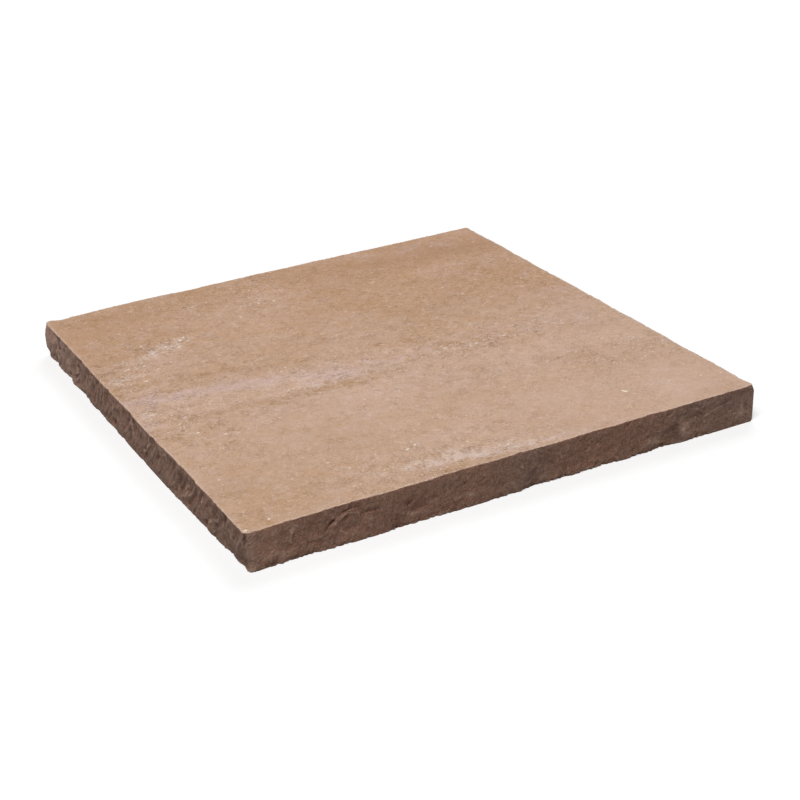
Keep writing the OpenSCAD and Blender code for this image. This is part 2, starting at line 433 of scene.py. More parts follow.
points, outward, walk, on_arc, around = guide_line()
rows = round((THICKNESS - 2 * ARRIS_ROUND) / FACE_PITCH)
heights = np.concatenate(
    [[0], np.linspace(ARRIS_ROUND, THICKNESS - ARRIS_ROUND, rows + 1), [THICKNESS]]
)
spots = np.column_stack([np.tile(points, (len(heights), 1)), np.repeat(heights, len(points))])


def over_faces(size, seed, octaves=3, gain=0.5, where=spots):
    """Cloud noise on the faces, with coarse lumps that many mm wide."""
    return cloud_noise(where, size * MM, seed, octaves, gain).reshape(len(heights), len(walk))


def by_face(*values):
    """One value a column from those of the front, right, back and left faces. They blend
    round the corners."""
    blend = 8 * MM
    stops = [(face_start(k) + blend, face_start(k + 1) - blend) for k in range(4)]
    return np.interp(walk, np.ravel(stops), np.repeat(values, 2), period=around)


def all_knocks():
    """The knocks of all four faces, with the ridges and gashes of two."""
    field = front_lines[0] + left_lines[0]
    field += placed_knocks(FRONT, FRONT_KNOCKS)
    field += placed_knocks(RIGHT, RIGHT_KNOCKS)
    field += placed_knocks(BACK, BACK_KNOCKS)
    return field + placed_knocks(LEFT, LEFT_KNOCKS)


def all_shells():
    """Random and chosen shells. The left face was broken more roughly than the front."""
    vigour = by_face(0.45, 0.9, 0.9, 1.0)
    return np.maximum.reduce([
        random_flakes(110, (16, 36), 0.06, (0.0, 0.4), seed=11) * vigour,
        random_flakes(420, (6, 13), 0.11, (0.0, 0.5), seed=12) * vigour,
        placed_shells(FRONT, FRONT_SHELLS),
        placed_shells(LEFT, LEFT_SHELLS),
    ])


def ledges_and_ribs():
    """Thin ledges, where one layer of the stone broke off further back than the next, and
    slanted ribs, which show most on the left face. In mm."""
    layers = over_faces(24, seed=26)
    ledges = sum(smooth_step(c - 0.03, c + 0.03, layers) for c in (-0.35, -0.05, 0.25))
    slanted = spots * (1, 1, 0.35) + spots[:, 2:] * (0, 0.8, 0)
    ribs = np.abs(over_faces(20, seed=34, gain=0.4, where=slanted))
    return by_face(0.1125, 0.225, 0.225, 0.25) * ledges + by_face(0.6, 1.6, 1.6, 4.5) * ribs


def arris_relief(to_arris):
    """Fine teeth along the arrises, larger at the bed, grains on the upright corners, and a
    slow sway of the arrises. In mm."""
    at_bed = heights[:, None] < THICKNESS / 2
    teeth = over_faces(4, seed=27, octaves=2, gain=1.0)
    bite = np.where(at_bed, by_face(2.4, 2.0, 2.0, 0.75), by_face(0.6, 0.8, 0.8, 0.6))
    from_corner = np.minimum.reduce([np.abs(past(face_start(k))) for k in range(4)])
    sway = over_faces(36, seed=35, gain=0.7)
    swing = np.where(at_bed, by_face(1.4, 0.9, 0.9, 0.9), by_face(0.0, 0.5, 0.5, 0.0))
    return (
        bite * np.exp(-to_arris / (2.5 * MM)) * teeth
        + 1.2 * np.exp(-from_corner / (4 * MM)) * np.abs(teeth)
        + swing * np.exp(-to_arris / (10 * MM)) * sway
    )


def broken_relief():
    """How far each face point lies behind the CAD solid's face, 0 on average in a row."""
    # The arrises were struck along a line: shells fade out there, but fine chips don't
    below_top = (THICKNESS - heights)[:, None]
    to_arris = np.minimum(below_top, heights[:, None])
    near_arris = 1 - smooth_step(0, 7 * MM, to_arris)
    chips = random_flakes(2600, (2, 5), 0.14, (0.1, 0.7), seed=13)
    rough = over_faces(10, seed=21, gain=0.8)
    detail = all_shells() * (0.25 + 0.75 * smooth_step(0, 14 * MM, below_top))
    detail += (by_face(0.65, 0.75, 0.75, 0.55) + 0.2 * near_arris) * chips
    detail += ledges_and_ribs() * (1 - 0.9 * near_arris) * MM
    detail += (by_face(0.7, 0.8, 0.8, 0.55) * rough + arris_relief(to_arris)) * MM
    return all_knocks() + detail - detail.mean(axis=1, keepdims=True)


# Slow wanderings along, up and in strength, which keep lines and stains, painted light among
# them, from looking drawn
waver = [over_faces(size, seed) for size, seed in ((14, 28), (14, 29), (9, 30))]
front_lines = placed_lines(FRONT, FRONT_LINES)
left_lines = placed_lines(LEFT, LEFT_LINES, boost=1.2)
from_cad = cad_set_back(points, outward, heights)
# The CAD solid's flat triangles are softened, but not the ones that make its corners
at_corner = np.clip(blurred(on_arc[None] * 1.0, 3) * 4, 0, 1)
from_cad = from_cad * at_corner + blurred(from_cad, 2.5) * (1 - at_corner)
relief = broken_relief()
set_back = from_cad + relief
set_back[[0, -1]] += ARRIS_SET_BACK

# ---- top and bed


def grid(margin, pitch):
    """A square grid inside the CAD box: its points in plan, its cells, and its outermost
    points, anticlockwise."""
    nx, ny = (round((length - 2 * margin) / pitch) for length in (WIDTH, DEPTH))
    xs = np.linspace(cad_low.x + margin, cad_high.x - margin, nx + 1)
    ys = np.linspace(cad_low.y + margin, cad_high.y - margin, ny + 1)
    gx, gy = np.meshgrid(xs, ys)
    n = np.arange(gx.size).reshape(gx.shape)
    cells = np.stack([n[:-1, :-1], n[:-1, 1:], n[1:, 1:], n[1:, :-1]], 2).reshape(-1, 4)
    rim = np.concatenate([n[0, :-1], n[:-1, -1], n[-1, :0:-1], n[:0:-1, 0]])
    return np.stack([gx.ravel(), gy.ravel()], 1), cells, rim


def joining_band(outer, inner, numbers):
    """Triangles, anticlockwise, between a loop and a smaller one inside it. numbers says
    which of the mesh's points the two loops' points are."""
    verts = [Vector(p) for p in np.concatenate([outer, inner])]
    n, m = len(outer), len(inner)
    edges = [(i, (i + 1) % n) for i in range(n)]
    edges += [(n + i, n + (i + 1) % m) for i in range(m)]
    made, _, triangles, origin, _, _ = delaunay_2d_cdt(verts, edges, [], 1, 1e-9)
    if len(made) != len(verts):
        raise ValueError("the band's loops touch")
    triangles = [[origin[i][0] for i in t] for t in triangles]
    return [[int(numbers[i]) for i in t] for t in triangles if min(t) < n]


columns = len(points)
last = len(heights) - 1
face_xy = points[None] - outward[None] * set_back[:, :, None]
face_co = np.concatenate([face_xy, np.repeat(heights[:, None, None], columns, 1)], axis=2)
loops = [points - outward * (set_back[last][:, None] + extra) for extra in TOP_LOOPS]
top_xy, top_cells, top_rim = grid(GRID_MARGIN, TOP_PITCH)
bed_xy, bed_cells, bed_rim = grid(BED_MARGIN, BED_PITCH)
top_all = np.concatenate([face_xy[last], *loops, top_xy])
top_flat = np.column_stack([top_all, np.zeros(len(top_all))])
# The plates of the weathered skin, which are a little longer along the front
plates = cloud_noise(top_flat * (0.6, 1, 1), 60 * MM, seed=33, octaves=5, gain=0.55)


def past_terrace():
    """Distance in m into the front right of the top, where a thin layer has come off. Its
    edge is a ragged line from the middle to the right face, and it fades to the left."""
    x = (top_all[:, 0] - cad_low.x) / WIDTH
    y = (top_all[:, 1] - cad_low.y) / DEPTH
    line = 0.33 - 0.32 * (x - 0.60) + 0.03 * plates
    return np.clip((line - y) * DEPTH, -8 * MM, 8 * MM) * smooth_step(0.50, 0.72, x)


def top_relief():
    """How deep each point of the top is sunk, in mm."""
    stretched = top_flat * (0.45, 1, 1)
    broad = cloud_noise(stretched, 110 * MM, seed=31, octaves=2)
    ripples = cloud_noise(stretched, 16 * MM, seed=32, octaves=2, gain=0.7)
    steps = smooth_step(0.02, 0.06, plates) + smooth_step(0.33, 0.37, plates)
    layer = smooth_step(0, 5 * MM, past_terrace())
    return 0.22 * broad + 0.14 * ripples + 0.12 * steps + 0.25 * layer


top_depth = top_relief() * MM
top_depth -= top_depth.min()
top_z = THICKNESS - top_depth
top_z[:columns] -= TOP_ROLL_OFF
top_z[columns : 2 * columns] -= 0.3 * TOP_ROLL_OFF
face_co[last, :, 2] = top_z[:columns]

# Points, in order: face rows, top loops, top grid, bed grid
rings = last + 1 + len(TOP_LOOPS)
grid_start = rings * columns
bed_start = grid_start + len(top_xy)
co = np.concatenate([
    face_co.reshape(-1, 3),
    np.column_stack([top_all[columns:], top_z[columns:]]),
    np.column_stack([bed_xy, np.zeros(len(bed_xy))]),
])
co[:, 0] = np.clip(co[:, 0], cad_low.x, cad_high.x)
co[:, 1] = np.clip(co[:, 1], cad_low.y, cad_high.y)


def strip(start):
    """Quads between the ring of points that starts there and the next one."""
    after = (ring + 1) % columns
    return np.stack([ring, after, after + columns, ring + columns], 1) + start


ring = np.arange(columns)
quads = [strip(j * columns) for j in range(rings - 1)]
quads += [top_cells + grid_start, bed_cells[:, ::-1] + bed_start]
faces = np.concatenate(quads).tolist()
numbers = np.concatenate([ring + grid_start - columns, top_rim + grid_start])
faces += joining_band(loops[-1], top_xy[top_rim], numbers)
numbers = np.concatenate([ring, bed_rim + bed_start])
faces += [t[::-1] for t in joining_band(face_xy[0], bed_xy[bed_rim], numbers)]

def in_scene(name, data):
    """A new object of that data."""
    made = bpy.data.objects.new(name, data)
    bpy.context.scene.collection.objects.link(made)
    return made


mesh = bpy.data.meshes.new("stone_cap")
mesh.from_pydata(co.tolist(), [], faces)
stone = in_scene("stone_cap", mesh)
mesh.shade_smooth()


def add_values(name, first, values):
    """A point attribute with those values from that point on, and 0 for the rest."""
    every = np.zeros(len(co), np.float32)
    every[first : first + len(values)] = values
    mesh.attributes.new(name, "FLOAT", "POINT").data.foreach_set("value", every)


def on_faces(name, field):
    add_values(name, 0, np.broadcast_to(field, (len(heights), columns)).ravel())


def on_top(name, values):
    add_values(name, last * columns, values)


def soft_bands(k, bands, lean=0.0):
    """Soft upright bands of face k: middle at the bed and half width in % of its length. At
    the top they lie further along by lean."""
    share = past(face_start(k)) / face_length(k) / PERCENT - lean * height_share
    return sum(np.exp(-(((share - middle) / half) ** 2)) for middle, half in bands)


def painted_light_at_ends():
    """Painted light: the left face is paler towards its left end, where more light fell, and
    the front a little at its own, where its round corner turns from the light.
    """
    along = past(face_start(LEFT)) - 10 * MM
    pale = smooth_step(170 * MM, 0, along) + 0.14 * smooth_step(420 * MM, 100 * MM, along)
    return pale * (along > -20 * MM) + 0.1 * front_end


def painted_face_light():
    """Painted light and shade on the faces: each face as bright as the light fell on it,
    darker towards the bed, the left one most, and lighter at the front's left end, where
    its round corner turns from the light.
    """
    at_bed = by_face(-0.06, 0.05, 0.05, 0.26)
    return by_face(0.91, 1.0, 1.0, 1.075) - at_bed * (1 - height_share) + 0.18 * front_end


def grey_bands():
    """The front is greyer in the middle and at its right end, and the left face all over."""
    grey = soft_bands(FRONT, [(52, 5), (90, 9), (100, 4)])
    grey += soft_bands(LEFT, [(96, 6), (62, 5)]) * (walk > face_start(LEFT))
    return np.clip(grey + by_face(0.0, 0.2, 0.2, 0.58), 0, 1)


height_share = heights[:, None] / THICKNESS
# The front's left end near the corner, painted lighter where its round corner turns from the light
front_end = past(face_start(FRONT))
front_end = smooth_step(80 * MM, 10 * MM, front_end) * (front_end > 0)
# How far each face point stands out from what is round it, in mm
on_faces("fine_relief", (blurred(relief, 1.7) - relief) / MM)
on_faces("wide_relief", (blurred(relief, 6) - relief) / MM)
on_faces("crest", front_lines[1] + left_lines[1])
# Stains, some of them painted light and shadow
on_faces("stain_and_painted_light", placed_stains_and_painted_light(FRONT, FRONT_STAINS_AND_PAINTED_LIGHT) + placed_stains_and_painted_light(LEFT, LEFT_STAINS_AND_PAINTED_LIGHT))
on_faces("shade", painted_face_light())
on_faces("painted_end_light", painted_light_at_ends())
on_faces("grey", grey_bands())
# The upright corner between the front and the left face is dark: a painted shadow in its crease
painted_corner_shadow = soft_bands(FRONT, [(0.15, 0.32)], lean=0.3)
painted_corner_shadow *= 0.3 + 0.65 * smooth_step(0.45, 1.0, height_share)
on_faces("painted_corner_shadow", painted_corner_shadow)

# ---- tone of the top

# Soft patches of the weathered skin: middle in % of the width and the depth, half sizes in %
# of the width, strength, and turn in degrees if there is one
PINK_PATCHES = [
    (3, 53, 6, 3.4, 1.1, -8), (14, 51.7, 8, 2.2, 1.1, -10), (26, 49.2, 8, 2.2, 0.9, -12),
    (37, 45.7, 5, 4, 1.1, -10), (45, 44, 6, 3, 0.6), (55, 45, 5, 3, 0.6), (72, 45.5, 14, 4, 0.4),
    (85, 43, 8, 3.5, 0.4), (48, 32, 20, 6, 0.3, -6), (3, 43, 5, 3, 0.5), (96, 56, 8, 12, 0.3),
    (86, 96, 12, 4, 0.3), (8, 82, 7, 4, 0.3), (38, 4.5, 8, 1.4, 0.7, -12),
    (51, 2.7, 8, 1.6, 0.7, -8), (62, 2, 7, 1.6, 0.5),
]
DARK_PATCHES = [
    (5, 59.5, 7, 1.4, 0.9, -6), (16, 58.2, 8, 1.3, 0.8, -8), (28, 55.5, 6, 1.3, 0.5, -8),
    (10, 43, 8, 1.2, 0.8, -4), (25, 41.1, 11, 1.2, 1, -3), (39, 39.6, 7, 1.4, 1, -4),
    (10, 36.5, 5, 3.5, 0.7), (2, 38.5, 4, 4, 0.6), (24, 27, 6, 2.2, 0.5, -10),
    (49, 20, 5, 2.2, 0.4, 20), (58, 50.5, 7, 4.5, 0.6), (63, 56, 5, 3, 0.4),
    (75, 75.7, 10, 2.2, 0.5, -6), (94, 77.5, 7, 1.8, 0.6, -3), (90, 88, 12, 2.4, 0.5, -12),
    (30, 97.5, 20, 3, 0.5, 3), (12, 93, 12, 3, 0.4, -8), (2, 13.5, 5, 1, 0.5, -20),
    (55, 13, 12, 3, 0.2), (10, 6, 16, 7, 0.4), (34, 1.8, 8, 1.2, 0.6, -8),
]
# Darker without being browner, and below 0 where it is paler. Partly painted shade: painted
# shadow along the step of the terrace, and painted light and shade where the light fell unevenly
SHADE_PATCHES = [
    (61, 33.8, 2.8, 1, 1, -14), (66, 31.8, 3.5, 0.8, 0.7, -14), (75, 30, 3.5, 1.2, 1, -16),
    (80, 26.6, 4.5, 1.4, 1, -8), (93, 24.5, 4, 1.8, 0.7), (88, 20, 8, 2.2, 0.6, -4),
    (92, 37.5, 4, 1.8, 0.9, -18), (85.5, 40.5, 1.8, 1, 1), (60, 46, 3, 1, 0.8),
    (92, 90, 14, 5, 0.9, -22), (72, 91.5, 10, 2.4, 0.6, -6), (72, 25, 5, 3, -0.4),
    (80, 82, 10, 2.4, -0.6), (40, 20, 5, 4, -0.3), (93, 31, 6, 2.2, -0.7, -10),
    (8, 59, 6, 12, -0.5), (38, 46, 7, 3, -0.6), (50, 46, 35, 4, -0.3), (78, 88, 22, 6, 0.5),
    (12, 93, 15, 5, 0.3), (28, 20, 8, 4, 0.5), (5, 15, 5, 5, 0.4), (42, 6, 7, 3, -0.4),
    (17, 74.5, 7, 4.5, -0.5), (34, 76, 8, 12, -0.4), (46, 87, 5, 6, -0.6), (6, 38, 4, 4, -0.6),
    (42, 37, 6, 4, -0.4), (20, 46, 18, 3.5, -0.3), (74, 34, 8, 5, -0.3), (76, 62, 5, 4, 0.4),
    (86, 77, 5, 4, 0.4), (92, 46, 7, 4.5, 0.7), (50, 50, 60, 10, -0.2), (95, 5, 5, 5, 0.5),
    (54, 94, 5, 4, 0.4), (26, 38, 7, 4, 0.4), (38, 4.5, 8, 1.1, -0.8, -12),
    (51, 2.5, 7, 1, -0.8, -8), (66, 75, 12, 4, -0.3),
]
# Paler and cooler, and below 0 browner
CHALK_PATCHES = [
    (46, 86, 5, 4, 1.2), (32, 80, 10, 5, 0.6), (14, 70, 5, 3, 0.9, 20), (21, 64, 12, 4, 0.8),
    (42, 55, 8, 3, 0.6), (12, 47, 12, 3, 0.8), (30, 47, 5, 3, 1.1), (34, 31, 13, 5, 1.6, -5),
    (45, 36, 6, 5, 0.9), (5, 41, 5, 5, 0.8), (88, 9, 9, 9, 1), (94, 26, 6, 10, 1),
    (69, 14, 6, 5, 0.5), (45, 7, 10, 3, 0.7), (72, 34, 20, 6, 0.6), (8, 88, 12, 6, -0.9),
    (90, 93, 14, 5, -0.7), (70, 70, 25, 7, -1.1, -5), (62, 61, 8, 5, -0.7), (67, 46, 8, 3, -0.8),
    (5, 12, 6, 9, -1.3), (18, 5, 10, 4, -0.9), (55, 93, 8, 4, -0.8), (95, 56, 6, 4, -0.5),
    (10, 69, 9, 5, 0.7), (46, 79, 8, 3, 0.7), (60, 78, 10, 3, 0.5), (42, 34, 7, 7, 0.7),
    (93, 38, 6, 4, 0.6), (50, 47, 40, 5, 0.4), (86, 15, 6, 4, 0.8), (88, 5, 10, 4, 0.6),
    (72, 13, 6, 4, 0.5), (66, 62, 13, 10, -0.8), (70, 83, 18, 6, -0.8), (94, 68, 6, 14, -1),
    (90, 8, 12, 6, 1.1), (72, 11, 8, 5, 0.8), (5, 54, 4, 3, -0.8), (6, 88, 6, 7, -0.7),
    (26, 6, 6, 3, -0.8), (46, 86, 4, 4, 0.7), (34, 78, 8, 3, 0.6), (15, 70, 6, 3, 0.8),
    (70, 44, 5, 5, -1.4), (58, 46, 6, 5, -0.7), (54, 30, 5, 4, -1), (14, 38.5, 6, 2, -1),
    (90, 6, 10, 4, 0.6),
]
SPECK_PATCHES = [
    (13.5, 72.5, 4.5, 2, 1.2, 16), (19.5, 75.2, 3, 2.4, 1.5, 40), (7, 66.5, 6, 3, 0.7, 38),
    (2, 64, 3, 2, 0.5), (2, 47.5, 3, 2, 0.8), (24, 44.8, 7, 0.8, 0.9, -8),
    (33, 42.8, 5, 1.2, 1, -10), (42, 85.5, 4.5, 2.2, 0.8, 20), (44, 95, 1.5, 3, 0.9),
    (28, 89, 3, 2.6, 0.7), (81, 81.5, 5, 1.6, 0.5), (65, 81.5, 1.2, 1.2, 0.7),
    (95, 66, 2.5, 2.2, 0.7), (62, 43.5, 2.5, 1.2, 1), (67, 43, 2.5, 1.2, 0.8),
    (73.5, 43, 2.5, 1.2, 1), (71, 52, 4, 1.6, 0.5), (50, 52.5, 2, 1.5, 0.6), (5, 40, 5, 5, 0.5),
    (35, 12, 3, 1, 0.8, 20), (30, 6, 3, 0.6, 1, -12), (38, 4.8, 8.5, 1.5, 1.7, -12),
    (51, 2.9, 7.5, 1.5, 1.6, -8), (42, 6.4, 3, 1.2, 1.2), (94, 21.5, 1.2, 1, 0.8),
    (98.5, 23, 2, 2.5, 0.8), (80, 28.5, 4, 1.4, 0.5),
]
# Where the skin is rougher, and below 0 where it is smoother
ROUGH_PATCHES = [
    (5, 50, 13, 17, 1), (15, 75, 8, 5, 1.2, 15), (3, 66, 6, 6, 0.9), (40, 43, 10, 6, 1, -20),
    (68, 43, 10, 4, 1.2), (42, 88, 6, 5, 0.8), (44, 97, 4, 5, 1), (29, 88, 4, 4, 0.8),
    (40, 5, 14, 5, 1.5), (80, 27, 12, 5, 0.8, -10), (96, 22, 5, 6, 1), (50, 55, 50, 20, 0.3),
    (85, 93, 25, 10, -0.5), (90, 10, 14, 8, -0.6), (68, 15, 12, 8, -0.3), (30, 27, 22, 9, -0.5),
    (7, 90, 10, 8, -0.6), (12, 12, 8, 6, -0.4),
]


def patch(x, y, long, wide, strength, turn=0):
    dx = wandered[:, 0] - cad_low.x - x * PERCENT * WIDTH
    dy = wandered[:, 1] - cad_low.y - y * PERCENT * DEPTH
    c, s = math.cos(math.radians(turn)), math.sin(math.radians(turn))
    a = (dx * c + dy * s) / (long * PERCENT * WIDTH)
    b = (dy * c - dx * s) / (wide * PERCENT * WIDTH)
    return strength * np.exp(-(a * a + b * b))


def patches(rows):
    """Sum of the soft patches at each point of the top."""
    return sum(patch(*row) for row in rows)


# How the patches wander from their places, along the front and to the back
wander = [cloud_noise(top_flat * (0.6, 1, 1), 40 * MM, seed, gain=0.6) for seed in (41, 42)]
wander = np.column_stack(wander)
wandered = top_all + wander * (14 * MM, 5 * MM)
for name, rows in (
    ("pink", PINK_PATCHES),
    ("dark", DARK_PATCHES),
    ("shaded", SHADE_PATCHES),
    ("chalk", CHALK_PATCHES),
    ("specks", SPECK_PATCHES),
):
    on_top(name, patches(rows))
roughness = np.clip(1 + 0.5 * patches(ROUGH_PATCHES) + 0.3 * wander[:, 1], 0.5, 2)
on_top("rough", roughness)
share_y = (top_all[:, 1] - cad_low.y) / DEPTH
# The top is darker towards the back: partly its own tone and partly painted shade where less light
# fell
on_top("to_back", smooth_step(0.35, 0.85, share_y + 0.08 * wander[:, 0]))
on_top("arris", np.arange(len(top_all)) < 2 * columns)
on_top("terrace", past_terrace() / MM)

# ---- materials


def srgb(red, green, blue):
    """Linear colour from 0-255 display values."""
    def linear(v):
        v /= 255
        return v / 12.92 if v <= 0.04045 else ((v + 0.055) / 1.055) ** 2.4
    return (linear(red), linear(green), linear(blue), 1)


class Shader:
    """The node tree of a new material or world, with short calls for its nodes."""

    def __init__(self, owner):
        owner.use_nodes = True
        self.tree = owner.node_tree
        self.tree.nodes.clear()

    def node(self, kind, inputs=None, **settings):
        made = self.tree.nodes.new("ShaderNode" + kind)
        for key, value in settings.items():
            setattr(made, key, value)
        for key, value in (inputs or {}).items():
            if isinstance(value, bpy.types.NodeSocket):
                self.tree.links.new(value, made.inputs[key])
            else:
                made.inputs[key].default_value = value
        return made

    def maths(self, operation, a, b=0.0):
        return self.node("Math", {0: a, 1: b}, operation=operation).outputs[0]

    def attribute(self, name):
        return self.node("Attribute", attribute_name=name).outputs["Fac"]

    def place(self, stretch=1.0, turn=0.0, middle=(0, 0, 0), size=(1, 1, 1)):
        """Position on the stone, from that middle and in units of that size. What is drawn
        there comes out stretched in plan, along a line turned by that many degrees from X."""
        inputs = {
            "Vector": self.node("TexCoord").outputs["Object"],
            "Location": middle,
            "Rotation": (0, 0, math.radians(turn)),
            "Scale": (stretch * size[0], size[1], size[2]),
        }
        return self.node("Mapping", inputs, vector_type="TEXTURE").outputs[0]

    def noise(self, place, size, detail, roughness, distortion=0.0):
        """Noise with coarse lumps that many mm wide."""
        inputs = {"Vector": place, "Scale": 1 / (size * MM), "Detail": detail}
        inputs.update({"Roughness": roughness, "Distortion": distortion})
        return self.node("TexNoise", inputs).outputs["Fac"]

    def dots(self, place, pitch, size, chance):
        """Small dots: 1 inside each, and 0 outside. The pitch is in mm, the size in pitches,
        and chance is how many of the cells have a dot."""
        cells = self.node("TexVoronoi", {"Vector": place, "Scale": 1 / (pitch * MM)})
        number = self.node("SeparateColor", {0: cells.outputs["Color"]}).outputs[0]
        chosen = self.maths("LESS_THAN", number, chance)
        inside = self.step(cells.outputs["Distance"], size, size * 0.4)
        return self.times(chosen, inside)

    def fleck(self, x, y, length, width, strength, turn=0):
        """One of FLECKS: its strength inside and 0 outside."""
        middle = cad_low + Vector((x * PERCENT * WIDTH, y * PERCENT * DEPTH, THICKNESS))
        size = (length * MM / 2, width * MM / 2, 5 * MM)
        inside = self.place(1, turn, middle, size)
        away = self.node("VectorMath", {0: inside}, operation="LENGTH").outputs["Value"]
        return self.step(away, 1.4, 0.5, 0, strength)

    def times(self, first, *others):
        for other in others:
            first = self.maths("MULTIPLY", first, other)
        return first

    def most(self, first, *others):
        for other in others:
            first = self.maths("MAXIMUM", first, other)
        return first

    def creases(self, value):
        """Thin creases along the middle values of a noise: 0 in them, and up to 1."""
        off = self.maths("ABSOLUTE", self.maths("SUBTRACT", value, 0.5))
        return self.line(off, 0, 0.16)

    def line(self, value, low, high, to_low=0.0, to_high=1.0, ease="LINEAR"):
        inputs = {0: value, 1: low, 2: high, 3: to_low, 4: to_high}
        return self.node("MapRange", inputs, interpolation_type=ease).outputs[0]

    def step(self, value, low, high, to_low=0.0, to_high=1.0):
        return self.line(value, low, high, to_low, to_high, "SMOOTHSTEP")

    def swing(self, noise, to_low, to_high=None):
        """A noise spread over that range, or from -to_low to to_low."""
        if to_high is None:
            to_low, to_high = -to_low, to_low
        return self.line(noise, 0.3, 0.7, to_low, to_high)

    def mix(self, share, a, b):
        return self.node("Mix", {0: share, 6: a, 7: b}, data_type="RGBA").outputs[2]

    def scaled(self, colour, by):
        return self.node("VectorMath", {0: colour, "Scale": by}, operation="SCALE").outputs[0]

    def covered(self, colour, covers):
        """The colour under covers, which are the share that each one hides and its colour."""
        for share, cover in covers:
            colour = self.mix(share, colour, cover)
        return colour

    def tinted(self, colour, tints):
        """The colour with an amount of each tint added, which may be below 0."""
        for tint, amount in tints:
            more = self.scaled(tint, amount)
            colour = self.node("VectorMath", {0: colour, 1: more}, operation="ADD").outputs[0]
        return colour

    def seen(self):
        """1 for what the camera sees, also in a reflection or through glass, and else 0."""
        path = self.node("LightPath").outputs
        kinds = (path[kind] for kind in ("Is Camera Ray", "Is Glossy Ray", "Is Transmission Ray"))
        return self.most(*kinds)

    def stone(self, colour, bumps):
        """The end of a stone's shader, which is dull. bumps are fields and heights in mm."""
        inputs = {}
        for field, height in bumps:
            inputs.update({"Height": field, "Distance": height * MM})
            inputs["Normal"] = self.node("Bump", inputs).outputs[0]
        inputs = {"Base Color": colour, "Normal": inputs["Normal"], "Roughness": 0.9}
        inputs["Specular IOR Level"] = 0.25
        surface = self.node("BsdfPrincipled", inputs).outputs[0]
        self.node("OutputMaterial", {"Surface": surface})


# Flecks of the top that show one by one: middle in % of the width and the depth, length and
# width in mm, strength, and turn in degrees if there is one
FLECKS = [
    (79, 10.3, 8, 3.2, 1, -62), (5.4, 2.3, 3.2, 2.4, 0.9), (0.8, 1, 4.5, 3, 0.8, 20),
    (20, 75.5, 4.8, 3.2, 1, 60), (18.6, 72.6, 4.4, 2.8, 0.9, 30), (13.2, 72.7, 4.4, 2.6, 0.7),
    (7.5, 36.2, 4, 3, 0.8, 20), (11.4, 33.2, 3.6, 2.6, 0.6), (7.5, 61.2, 5.2, 3.2, 0.8, -10),
    (6.5, 68, 4.4, 3.4, 0.7), (44, 84, 4, 3.4, 0.7, 40), (35.2, 11.4, 6, 2.6, 0.8, 30),
    (37.1, 12.2, 3.4, 2.4, 0.8), (45.1, 8.4, 3, 2.6, 0.6), (61.5, 44.1, 7, 3.2, 0.5, 8),
    (67.8, 42.8, 5, 3.4, 0.4, 8), (74, 43, 5, 2.6, 0.5, 12), (3.3, 47.2, 6, 3, 0.6, 10),
    (32, 52.8, 4, 2.4, 0.5, -30), (12.4, 76.8, 4.2, 2.6, 0.75), (5.8, 67.8, 4, 2.4, 0.6, 20),
    (2.4, 48.4, 5, 2.4, 0.6), (23.8, 10.6, 3.4, 2.2, 0.6), (21.6, 4.7, 3.4, 2.2, 0.6),
    (76.6, 71.2, 4, 2.4, 0.5), (42, 92, 3.4, 2.4, 0.6), (53.9, 70.6, 3.4, 2.4, 0.5),
    (3.8, 18.3, 3.4, 2.2, 0.5), (44.2, 96, 4, 2.6, 0.6, 20), (65.7, 81.7, 4, 2.4, 0.6),
    (61.3, 45.2, 5, 2.6, 0.5, 8), (16.5, 74.2, 4, 2.4, 0.7, 40), (15, 75.2, 3.6, 2.4, 0.6, 10),
    (88.8, 81.8, 3.6, 2.4, 0.5), (21, 76.4, 4.2, 2.4, 0.8, 50), (17.4, 73.6, 3.4, 2.4, 0.7, 20),
    (21.2, 74.5, 3.6, 2.4, 0.7, -20),
]

SAME_HUE = (0.52, 0.41, 0.33)  # makes the stone lighter or darker
CHALKY = (0.50, 0.49, 0.58)  # makes it paler or browner
COOLER = (0.16, 0.23, 0.36)  # makes it greyer or browner


def pale_marks(m, ragged, lively):
    """Covers of the top: smears, faint and bright dots, and flecks. Then the bright dots."""
    specks = m.attribute("specks")
    smear = m.times(specks, m.line(ragged, -0.5, 0.5, 0.2, 1.8))
    smear = m.maths("ADD", smear, m.times(ragged, 1.1))
    faint = m.times(lively, m.dots(m.place(1.1), 6, 0.28, 0.16), 0.36)
    chance = m.line(specks, 0.1, 1, 0.01, 0.4)
    bright = m.times(m.dots(m.place(1.4, 15), 5, 0.34, chance), 0.85)
    marks = [
        (m.step(smear, 0.4, 1.8, 0, 0.52), srgb(220, 199, 186)),
        (m.most(faint, bright), srgb(234, 214, 196)),
        (m.most(*[m.fleck(*row) for row in FLECKS]), srgb(248, 234, 220)),
    ]
    return marks, bright


